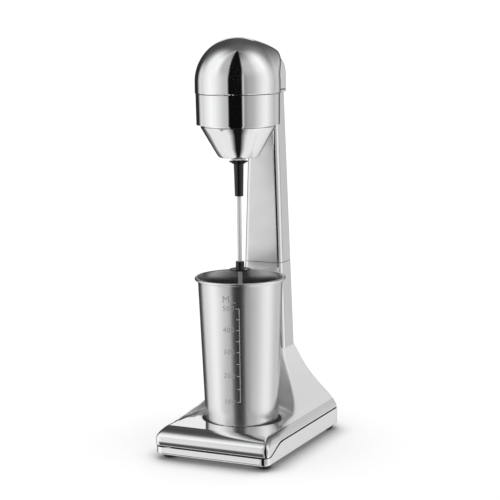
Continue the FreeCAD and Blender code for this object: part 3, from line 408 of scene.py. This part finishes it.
def implicit_mesh(name, field, low, high, step):
    """The surface where field(x, y, z) is zero, as quads with exact normals."""
    axes = [np.arange(low[k], high[k] + step, step) for k in range(3)]
    values = field(*np.meshgrid(*axes, indexing="ij"))
    inside = values < 0.0
    cells = tuple(n - 1 for n in values.shape)
    total = np.zeros(cells + (3,))
    count = np.zeros(cells)

    def corner(offset):
        return tuple(slice(o, o + n) for o, n in zip(offset, cells))

    for axis in range(3):
        others = [k for k in range(3) if k != axis]
        for u in (0, 1):
            for v in (0, 1):
                start = [0, 0, 0]
                start[others[0]], start[others[1]] = u, v
                end = list(start)
                end[axis] = 1
                a, b = values[corner(start)], values[corner(end)]
                crossed = (a < 0.0) != (b < 0.0)
                along = np.where(crossed, a / np.where(crossed, a - b, 1.0), 0.0)
                for k in range(3):
                    total[..., k] += np.where(crossed, along if k == axis else start[k], 0.0)
                count += crossed
    active = count > 0
    index = np.full(cells, -1)
    index[active] = np.arange(active.sum())
    where = np.argwhere(active)
    points = (where + total[active] / count[active][:, None]) * step + np.array(low)
    quads = []
    for axis in range(3):
        u, v = [k for k in range(3) if k != axis]
        first = [slice(1, -1)] * 3
        first[axis] = slice(0, -1)
        second = list(first)
        second[axis] = slice(1, None)
        enters = inside[tuple(second)] & ~inside[tuple(first)]
        leaves = inside[tuple(first)] & ~inside[tuple(second)]
        for mask, turned in ((enters, axis != 1), (leaves, axis == 1)):
            spot = np.argwhere(mask)
            spot[:, u] += 1
            spot[:, v] += 1
            ring = []
            for du, dv in ((-1, -1), (0, -1), (0, 0), (-1, 0)):
                cell = spot.copy()
                cell[:, u] += du
                cell[:, v] += dv
                ring.append(index[tuple(cell.T)])
            quad = np.stack(ring, axis=1)
            quads.append(quad[:, ::-1] if turned else quad)
    quads = np.concatenate(quads)
    for _ in range(4):
        slope = slope_of(field, points)
        size = np.maximum((slope ** 2).sum(axis=1), 0.05)
        move = -(field(*points.T) / size)[:, None] * slope
        points = points + np.clip(move, -step / 2, step / 2)
    slope = slope_of(field, points)
    normals = slope / np.maximum(np.linalg.norm(slope, axis=1), 1e-6)[:, None]
    mesh = bpy.data.meshes.new(name)
    mesh.from_pydata((points / MM).tolist(), [], quads.tolist())
    mesh.validate()
    mesh.update()
    mesh.shade_smooth()
    mesh.normals_split_custom_set_from_vertices(normals.tolist())
    return link(name, mesh)


def link(name, mesh):
    obj = bpy.data.objects.new(name, mesh)
    bpy.context.scene.collection.objects.link(obj)
    return obj


def stand_for(obj, body, slot, *replaced):
    """Finish a piece: material, body, slot and the CAD nodes it stands for."""
    dress(obj, slot)
    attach(obj, body)
    if replaced:
        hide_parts(*replaced)


# ------------------------------------------------------------------ base shell
base_high = Vector(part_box("base_shell")[1]) * MM
HALF, LONG = base_high.x, base_high.y
DECK, WALL, FLARE_TOP = 29.5, 2.5, 90.0
SKIRT_FOOT, CORNER_LOW_R, CORNER_HIGH_R = 18.0, 8.0, 3.5
FRONT_SLACK = 3.0
ROLL_Z, ROLL_HIGH, ROLL_DEPTH, ROLL_FULLNESS = 18.0, 12.2, 25.0, 2.15
TUCK_HIGH, TUCK_DEPTH, ROLL_SETBACK = 16.0, 14.0, 1.0
RECESS_R, RECESS_SHIFT, RECESS_FLOOR = 40.5, 4.0, 27.5
SCOOP_R, SCOOP_OPEN, SCOOP_MOUTH = 50.5, 4.0, 40.0
TAIL_Z, TAIL_ROUND = 40.0, 2.0
COLUMN_FRONT = 31.8
SEAM_FRONT, SEAM_RISE = 12.6, 9.2
FAR_INSIDE = -9.0
# height, half width and rear of the flared skirt
SKIRT = [(21.8, 60.4, 91.5), (26.0, 58.0, 90.5), (30.5, 55.0, 88.8), (35.0, 52.2, 86.6),
         (40.0, 49.2, 83.6), (48.0, 44.2, 78.4), (60.0, 36.8, 72.2), (75.0, 28.8, 66.8),
         (84.0, 25.2, 62.9), (90.0, 23.3, 60.0)]
heights, halves, rears = (np.array(column) for column in zip(*SKIRT))
half_curve = np.poly1d(np.polyfit(heights, halves, 5))
rear_curve = np.poly1d(np.polyfit(heights, rears, 5))


def skirt_plan(x, y, z):
    """Distance outside the base's outline, which narrows towards the column."""
    level = np.clip(z, SKIRT_FOOT, FLARE_TOP + 4.0)
    half = smooth_min(np.full_like(level, HALF), half_curve(level), 2.5)
    rear = smooth_min(np.full_like(level, LONG), rear_curve(level), 2.5)
    radius = CORNER_LOW_R + (CORNER_HIGH_R - CORNER_LOW_R) * smooth_step(level, 40.0, FLARE_TOP)
    front = LONG + FRONT_SLACK
    middle, reach = (rear - front) / 2, (rear + front) / 2
    return round_corner(np.abs(x) - half, np.abs(y - middle) - reach, radius)


def roll_front(y, z):
    """Distance outside the rounded roll across the front, which tucks in below."""
    above = z - ROLL_Z
    upper = above > 0.0
    depth = np.where(upper, ROLL_DEPTH, TUCK_DEPTH)
    high = np.where(upper, ROLL_HIGH, TUCK_HIGH)
    fullness = np.where(upper, ROLL_FULLNESS, 2.0)
    rear = ROLL_SETBACK - LONG + depth
    u, w = np.maximum(rear - y, 0.0) / depth, np.abs(above) / high
    far = np.maximum((u ** fullness + w ** fullness) ** (1.0 / fullness), 0.1)
    steep = np.hypot(u ** (fullness - 1.0) / depth, w ** (fullness - 1.0) / high)
    roll = (far - 1.0) / np.maximum(steep / far ** (fullness - 1.0), 0.03)
    roll_or_foot = np.where(z > ROLL_Z - ROLL_HIGH, roll, -LONG - y)
    return np.where(y < rear, roll_or_foot, FAR_INSIDE)


def scoop_sides(x, y, z):
    """Distance outside the walls round the cup, which run out low towards the front."""
    ahead = CUP_Y - y
    radius = (SCOOP_R + SCOOP_OPEN * smooth_step(ahead, 0.0, 36.0)
              + SCOOP_MOUTH * smooth_step(ahead, 35.0, 50.0))
    wall = radius - np.hypot(x, np.maximum(-ahead, 0.0))
    drop = TAIL_Z - z
    tail = 1.9 * (drop + np.hypot(drop, TAIL_ROUND))
    front_line = COLUMN_FRONT - 0.75 * (FLARE_TOP - z) - tail
    lean = (front_line - y) * (0.8 - 0.58 * smooth_step(drop, 0.0, 4.0))
    return smooth_max(wall, lean, 3.0)


def base_mass(x, y, z):
    """Distance outside the base as a solid block with its recess for the cup."""
    deck = np.maximum(z - DECK, roll_front(y, z))
    roof = smooth_min(deck, scoop_sides(x, y, z), 4.5)
    mass = smooth_max(skirt_plan(x, y, z), roof, 4.5)
    from_centre = np.hypot(x, y - CUP_Y - RECESS_SHIFT)
    recess = np.maximum(from_centre - RECESS_R, RECESS_FLOOR - z)
    return smooth_max(smooth_max(mass, -recess, 0.4), z - FLARE_TOP - 1.0, 0.5)


def base_shell(x, y, z):
    """The block hollowed to a wall, and cut off at the seam with the pan."""
    seam = SEAM_FRONT + SEAM_RISE * smooth_step(y, -84.0, -56.0)
    mass = base_mass(x, y, z)
    shell = smooth_max(mass, seam - z, 0.5)
    return np.maximum(shell, -(mass + WALL))


skirt = implicit_mesh("base_shell_body", base_shell, (-63.1, -91.3, 10.1),
                      (63.1, 91.3, 93.0), step=1.1)
stand_for(skirt, "base", "base_chrome", "base_shell")

# ------------------------------------------------------------------ dome
dome_low, dome_high = (Vector(c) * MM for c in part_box("dome_cover"))
DOME_R = dome_high.x
DOME_TOP, DOME_FOOT, DOME_MIDDLE = dome_high.z, dome_low.z, 358.0
SWEEP, BLOCK_FRONT, BLOCK_HALF, BLOCK_ROUND = 20.0, -1.0, 17.0, 11.0
BLOCK_TOP, BLOCK_FALL, FALL_COSINE = 396.0, 0.24, 0.97


def dome_mass(x, y, z):
    """A ball drawn out to the rear at its shoulder, joined to the block over the column."""
    lift = np.maximum(z - DOME_MIDDLE, 0.0) * DOME_R / (DOME_TOP - DOME_MIDDLE)
    swept = SWEEP * smooth_step(z, 362.0, 388.0) * (1.0 - smooth_step(z, 384.0, 403.0))
    across = np.hypot(x, np.minimum(y - CUP_Y, 0.0) + np.maximum(y - CUP_Y - swept, 0.0))
    ball = np.sqrt(across ** 2 + lift ** 2) - DOME_R
    top = FALL_COSINE * (z - (BLOCK_TOP - BLOCK_FALL * (y + 7.7)))
    arch = round_corner(top, np.abs(x) - BLOCK_HALF, BLOCK_ROUND)
    rear_round = 4.0 + 10.0 * smooth_step(z, 362.0, 382.0)
    block = np.maximum(round_corner(arch, y - dome_high.y, rear_round), BLOCK_FRONT - y)
    blend = 18.0 - 17.6 * smooth_step(z, 356.0, 388.0)
    return smooth_max(smooth_min(ball, block, blend), DOME_FOOT - z, 0.5)


dome = implicit_mesh("dome_body", dome_mass, (-44.1, -61.1, 344.1), (44.1, 63.1, 402.1),
                     step=1.2)
stand_for(dome, "head", "head_chrome", "dome_cover")


# ------------------------------------------------------------------ turned and drawn, in mm
def build_mesh(name, points, faces, crease=35.0):
    """A mesh with its faces turned outwards, smooth except at edges sharper than crease."""
    mesh = bpy.data.meshes.new(name)
    mesh.from_pydata([Vector(p) / MM for p in points], [], faces)
    mesh.validate()
    mesh.update()
    work = bmesh.new()
    work.from_mesh(mesh)
    bmesh.ops.recalc_face_normals(work, faces=work.faces)
    work.to_mesh(mesh)
    work.free()
    mesh.shade_smooth()
    mesh.set_sharp_from_angle(angle=math.radians(crease))
    return link(name, mesh)


def arc(across, up, radius, start, end, steps=8):
    """Points along an arc about (across, up), from start to end degrees."""
    angles = [math.radians(start + (end - start) * i / steps) for i in range(steps + 1)]
    return [(across + radius * math.cos(a), up + radius * math.sin(a)) for a in angles]


def lathe(name, profile, turns=160, closed=False, crease=35.0):
    """Turn a (radius, height) outline about the drive axis; radius 0 makes a pole."""
    points, rings = [], []
    for radius, height in profile:
        if radius < 1e-6:
            rings.append([len(points)])
            points.append((0.0, CUP_Y, height))
            continue
        rings.append(list(range(len(points), len(points) + turns)))
        points += [(radius * math.cos(math.tau * i / turns),
                    CUP_Y + radius * math.sin(math.tau * i / turns), height)
                   for i in range(turns)]
    faces = []
    pairs = list(zip(rings, rings[1:] + rings[:1] if closed else rings[1:]))
    for lower, upper in pairs:
        for i in range(turns):
            j = (i + 1) % turns
            if len(lower) == 1:
                faces.append((lower[0], upper[j], upper[i]))
            elif len(upper) == 1:
                faces.append((lower[i], lower[j], upper[0]))
            else:
                faces.append((lower[i], lower[j], upper[j], upper[i]))
    return build_mesh(name, points, faces, crease)


# ------------------------------------------------------------------ column
COLUMN_LOW, COLUMN_SEAM = FLARE_TOP, 176.0
COLUMN_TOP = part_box("upper_panel")[1].z * MM
PANEL_DEPTH, PANEL_GAP, PANEL_LIP, EDGE_ROUND = 5.0, 0.4, 0.25, 5.0
TONGUE_INSET, SEAM_GAP = 1.2, 0.5
REAR = 60.0
# half width and front of the column at its foot, seam and top
AT_FOOT, AT_SEAM, AT_TOP = (23.3, COLUMN_FRONT), (20.4, 33.2), (14.8, 36.4)


def column_size(z):
    """Half width and front of the column at a height."""
    if z < COLUMN_SEAM + 0.1:
        start, end, low, high = AT_FOOT, AT_SEAM, COLUMN_LOW, COLUMN_SEAM
    else:
        start, end, low, high = AT_SEAM, AT_TOP, COLUMN_SEAM, COLUMN_TOP
    t = (z - low) / (high - low)
    return tuple(a + (b - a) * t for a, b in zip(start, end))


def drawn(name, outline, low, high):
    """A straight-sided piece between the outlines at two heights, with flat ends."""
    rings = [outline(z) for z in (low, high)]
    size = len(rings[0])
    points = [(x, y, z) for z, ring in zip((low, high), rings) for x, y in ring]
    faces = [tuple(range(size))[::-1], tuple(range(size, 2 * size))]
    for i in range(size):
        j = (i + 1) % size
        faces.append((i, j, size + j, size + i))
    return build_mesh(name, points, faces, 30.0)


def panel_outline(z):
    """The front cover: a rounded face, its back edge just clear of the channel."""
    half, front = column_size(z)
    back, lip = front + PANEL_DEPTH, PANEL_LIP
    right = arc(half - EDGE_ROUND, front + EDGE_ROUND, EDGE_ROUND, -90, 0, 16)
    right += [(half, back - lip), (half - lip, back), (half - TONGUE_INSET, back),
              (half - TONGUE_INSET, back + PANEL_GAP)]
    return [(-x, y) for x, y in reversed(right)] + right


def channel_outline(z):
    """The rear channel: it starts behind the cover's gap and has a rounded back."""
    half, front = column_size(z)
    start, lip = front + PANEL_DEPTH + PANEL_GAP, PANEL_LIP
    right = [(half - lip, start), (half, start + lip)]
    right += arc(half - EDGE_ROUND, REAR - EDGE_ROUND, EDGE_ROUND, 0, 90, 16)
    return right + [(-x, y) for x, y in reversed(right)]


for name, outline, low, high, replaced in (
        ("column_channel_low", channel_outline, COLUMN_LOW, COLUMN_SEAM, None),
        ("column_panel_low", panel_outline, COLUMN_LOW, COLUMN_SEAM, "lower_panel"),
        ("column_panel_high", panel_outline, COLUMN_SEAM + SEAM_GAP, COLUMN_TOP,
         "upper_panel")):
    piece = drawn(name, outline, low, high)
    stand_for(piece, "base", "column_chrome", *([replaced] if replaced else []))

# ------------------------------------------------------------------ cup
CUP_FLOOR, CUP_RIM, CUP_LOW_R, CUP_TOP_R, CUP_WALL = 28.5, 168.6, 35.6, 41.2, 1.0
BEAD_R, BEAD, FOOT_ROUND, FOOT_INNER_ROUND = 42.6, 1.6, 0.4, 3.4


def cup_radius(z):
    """Outer radius of the tapered wall."""
    return CUP_LOW_R + (CUP_TOP_R - CUP_LOW_R) * (z - CUP_FLOOR) / (CUP_RIM - CUP_FLOOR)


cup_outline = [(0.0, CUP_FLOOR)]
cup_outline += arc(CUP_LOW_R - FOOT_ROUND, CUP_FLOOR + FOOT_ROUND, FOOT_ROUND, -90, -3, 6)
cup_outline += [(cup_radius(z), z) for z in range(40, 160, 10)]
cup_outline += [(cup_radius(165.0), 165.0)]
cup_outline += arc(BEAD_R, CUP_RIM, BEAD, 215, 510, 20)
cup_outline += [(cup_radius(z) - CUP_WALL, z) for z in (167.6, 160.0, 130.0, 90.0, 50.0)]
cup_outline += arc(CUP_LOW_R - CUP_WALL - FOOT_INNER_ROUND,
                   CUP_FLOOR + CUP_WALL + FOOT_INNER_ROUND, FOOT_INNER_ROUND, -3, -90, 8)
cup_outline += [(0.0, CUP_FLOOR + CUP_WALL)]
cup = lathe("cup_body", cup_outline, 200)
stand_for(cup, "cup", "cup_steel", "mixing_cup")

SCALE_TURN = math.radians(23.8)
MARK_LIFT, MARK_SINK, MARK_HALF = 0.22, -0.1, 0.3
LINE_HALF, TICK_LENGTH = 0.35, 3.0


def on_cup(across, z, lift):
    """A point of the cup's wall, across millimetres to the right of the scale's line."""
    radius = cup_radius(z)
    turn = SCALE_TURN + across / radius
    return ((radius + lift) * math.sin(turn), CUP_Y - (radius + lift) * math.cos(turn), z)


def raised_strip(points, faces, left, right, low, high):
    """Add a bar that follows the cup's wall, between two places across and two heights."""
    columns = max(1, round(right - left))
    start = len(points)
    for i in range(columns + 1):
        across = left + (right - left) * i / columns
        points += [on_cup(across, low, MARK_SINK), on_cup(across, low, MARK_LIFT),
                   on_cup(across, high, MARK_LIFT), on_cup(across, high, MARK_SINK)]
    for i in range(columns):
        a, b = start + 4 * i, start + 4 * i + 4
        faces += [(a + k, b + k, b + (k + 1) % 4, a + (k + 1) % 4) for k in range(4)]
    faces += [tuple(start + k for k in (3, 2, 1, 0)),
              tuple(start + 4 * columns + k for k in range(4))]


def raised_text(points, faces, text, size, across, z):
    """Add raised characters wrapped on the cup's wall, centred at a place and height."""
    data = bpy.data.curves.new("mark", "FONT")
    data.body = text
    data.size = size
    data.align_x, data.align_y = "CENTER", "CENTER"
    data.extrude = 0.5
    data.resolution_u = 3
    data.space_character = 1.15
    temporary = link("mark", data)
    mesh = bpy.data.meshes.new_from_object(
        temporary.evaluated_get(bpy.context.evaluated_depsgraph_get()))
    start = len(points)
    for vertex in mesh.vertices:
        lift = MARK_LIFT if vertex.co.z > 0 else MARK_SINK
        points.append(on_cup(across + vertex.co.x, z + vertex.co.y, lift))
    faces += [tuple(start + v for v in polygon.vertices) for polygon in mesh.polygons]
    bpy.data.objects.remove(temporary)
    bpy.data.curves.remove(data)
    bpy.data.meshes.remove(mesh)


# heights of the marks, by millilitres
VOLUME_MARKS = {100: 53.8, 200: 79.6, 300: 102.9, 400: 124.5, 500: 145.6}
mark_points, mark_faces = [], []
raised_strip(mark_points, mark_faces, -LINE_HALF, LINE_HALF, VOLUME_MARKS[100] - MARK_HALF,
             VOLUME_MARKS[500] + MARK_HALF)
levels = list(VOLUME_MARKS.values())
halfway = [(a + b) / 2 for a, b in zip(levels, levels[1:])]
for level in levels + halfway:
    raised_strip(mark_points, mark_faces, -TICK_LENGTH, -0.3, level - MARK_HALF,
                 level + MARK_HALF)
marks = build_mesh("cup_volume_marks", mark_points, mark_faces)
stand_for(marks, "cup", "cup_steel")
marks.data.materials[0] = MATERIALS["cup_scale"]

number_points, number_faces = [], []
for volume, level in VOLUME_MARKS.items():
    raised_text(number_points, number_faces, str(volume), size=7.0, across=-10.5, z=level)
raised_text(number_points, number_faces, "ML", size=10.0, across=-10.0, z=154.0)
numbers = build_mesh("cup_volume_numbers", number_points, number_faces)
stand_for(numbers, "cup", "cup_steel")
numbers.data.materials[0] = MATERIALS["cup_numbers"]

# ------------------------------------------------------------------ drive parts below the head
SPLASH_Z, SPLASH_R, HUB_R, HUB_TOP, ROD_HOLE_R = 176.0, 10.5, 4.2, 184.8, 2.1
splash = lathe("splash_disc_body", (
    [(ROD_HOLE_R, HUB_TOP)] + arc(HUB_R - 0.6, HUB_TOP - 0.6, 0.6, 90, 0, 4)
    + arc(HUB_R + 1.4, SPLASH_Z + 2.4, 1.4, 180, 270, 6)
    + [(SPLASH_R - 1.6, SPLASH_Z + 0.8)] + arc(SPLASH_R - 0.5, SPLASH_Z + 0.9, 0.5, 90, -90, 6)
    + [(SPLASH_R - 1.6, SPLASH_Z), (ROD_HOLE_R, SPLASH_Z)]), 96, closed=True)
stand_for(splash, "spindle", "black_plastic", "splash_disc")

CONE_TOP, CONE_FOOT, CONE_TOP_R, CONE_FOOT_R = 316.9, 286.0, 37.1, 19.2
CONE_WALL, CONE_HOLE_R, SPIGOT_R, SPIGOT_INNER_R, SPIGOT_TOP = 2.2, 6.0, 35.2, 33.8, 321.5
cone_slope = (CONE_TOP_R - CONE_FOOT_R) / (CONE_TOP - CONE_FOOT)


def cone_radius(z):
    """Outer radius of the cone at a height."""
    return CONE_FOOT_R + cone_slope * (z - CONE_FOOT)


cone = lathe("lower_cone_body", (
    [(CONE_HOLE_R, CONE_FOOT)] + arc(CONE_FOOT_R - 1.0, CONE_FOOT + 0.9, 0.9, -90, -30, 5)
    + [(cone_radius(z), z) for z in (288.0, 295.0, 302.0, 309.0)]
    + arc(cone_radius(315.0) - 0.7, 315.2, 0.7, -30, 90, 6)
    + [(SPIGOT_R, 315.9), (SPIGOT_R, SPIGOT_TOP), (SPIGOT_INNER_R, SPIGOT_TOP),
       (SPIGOT_INNER_R, 316.0)]
    + [(cone_radius(z) - CONE_WALL, z) for z in (314.0, 300.0, 289.0)]
    + [(CONE_HOLE_R, 288.0)]), 160, closed=True)
stand_for(cone, "head", "head_chrome", "lower_cone")

# ------------------------------------------------------------------ studio, floor, camera and view transform
studio_world()
pale_floor()
studio_camera()
bpy.context.scene.view_settings.view_transform = "Standard"
